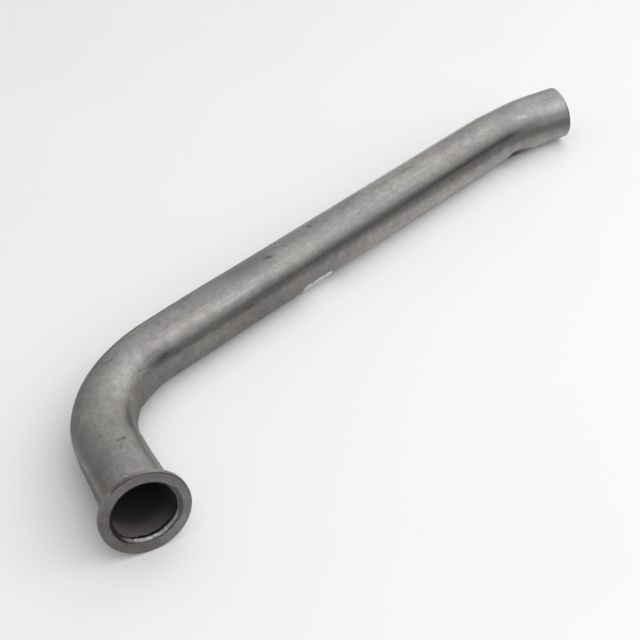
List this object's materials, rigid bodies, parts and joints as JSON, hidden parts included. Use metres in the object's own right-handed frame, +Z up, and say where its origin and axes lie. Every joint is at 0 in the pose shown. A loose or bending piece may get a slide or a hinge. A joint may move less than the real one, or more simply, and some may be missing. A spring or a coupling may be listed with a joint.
{
  "type": "exhaust downpipe",
  "caption": "Bent steel exhaust downpipe with a welded slip-on flange ring at the inlet, a wide elbow, a long straight run, a gentle kick and a plain cut outlet end.",
  "frame": {"origin": "centre of the pipe's footprint, on the floor that it lies on", "axes": "+X along the long straight run towards the plain outlet end, +Z up, the flange's sealing face looks towards -Y and a little towards -X"},
  "size_m": [0.6735, 0.186, 0.0678],
  "materials": {
    "tube_steel": "drawn and coated mild steel tube, satin grey, lengthwise draw lines, light scuffs and faint brown stains",
    "ring_steel": "turned mild steel, fine concentric tool lines, slightly brown and lilac tarnish",
    "weld_metal": "rippled bright weld metal, darker at its toes",
    "label_film": "blank silver-white label film with a torn upper edge"
  },
  "bodies": {
    "root": {"downpipe_tube": "tube_steel", "flange_ring": "ring_steel", "weld_bead": "weld_metal", "blank_label": "label_film"}
  },
  "joints": []
}
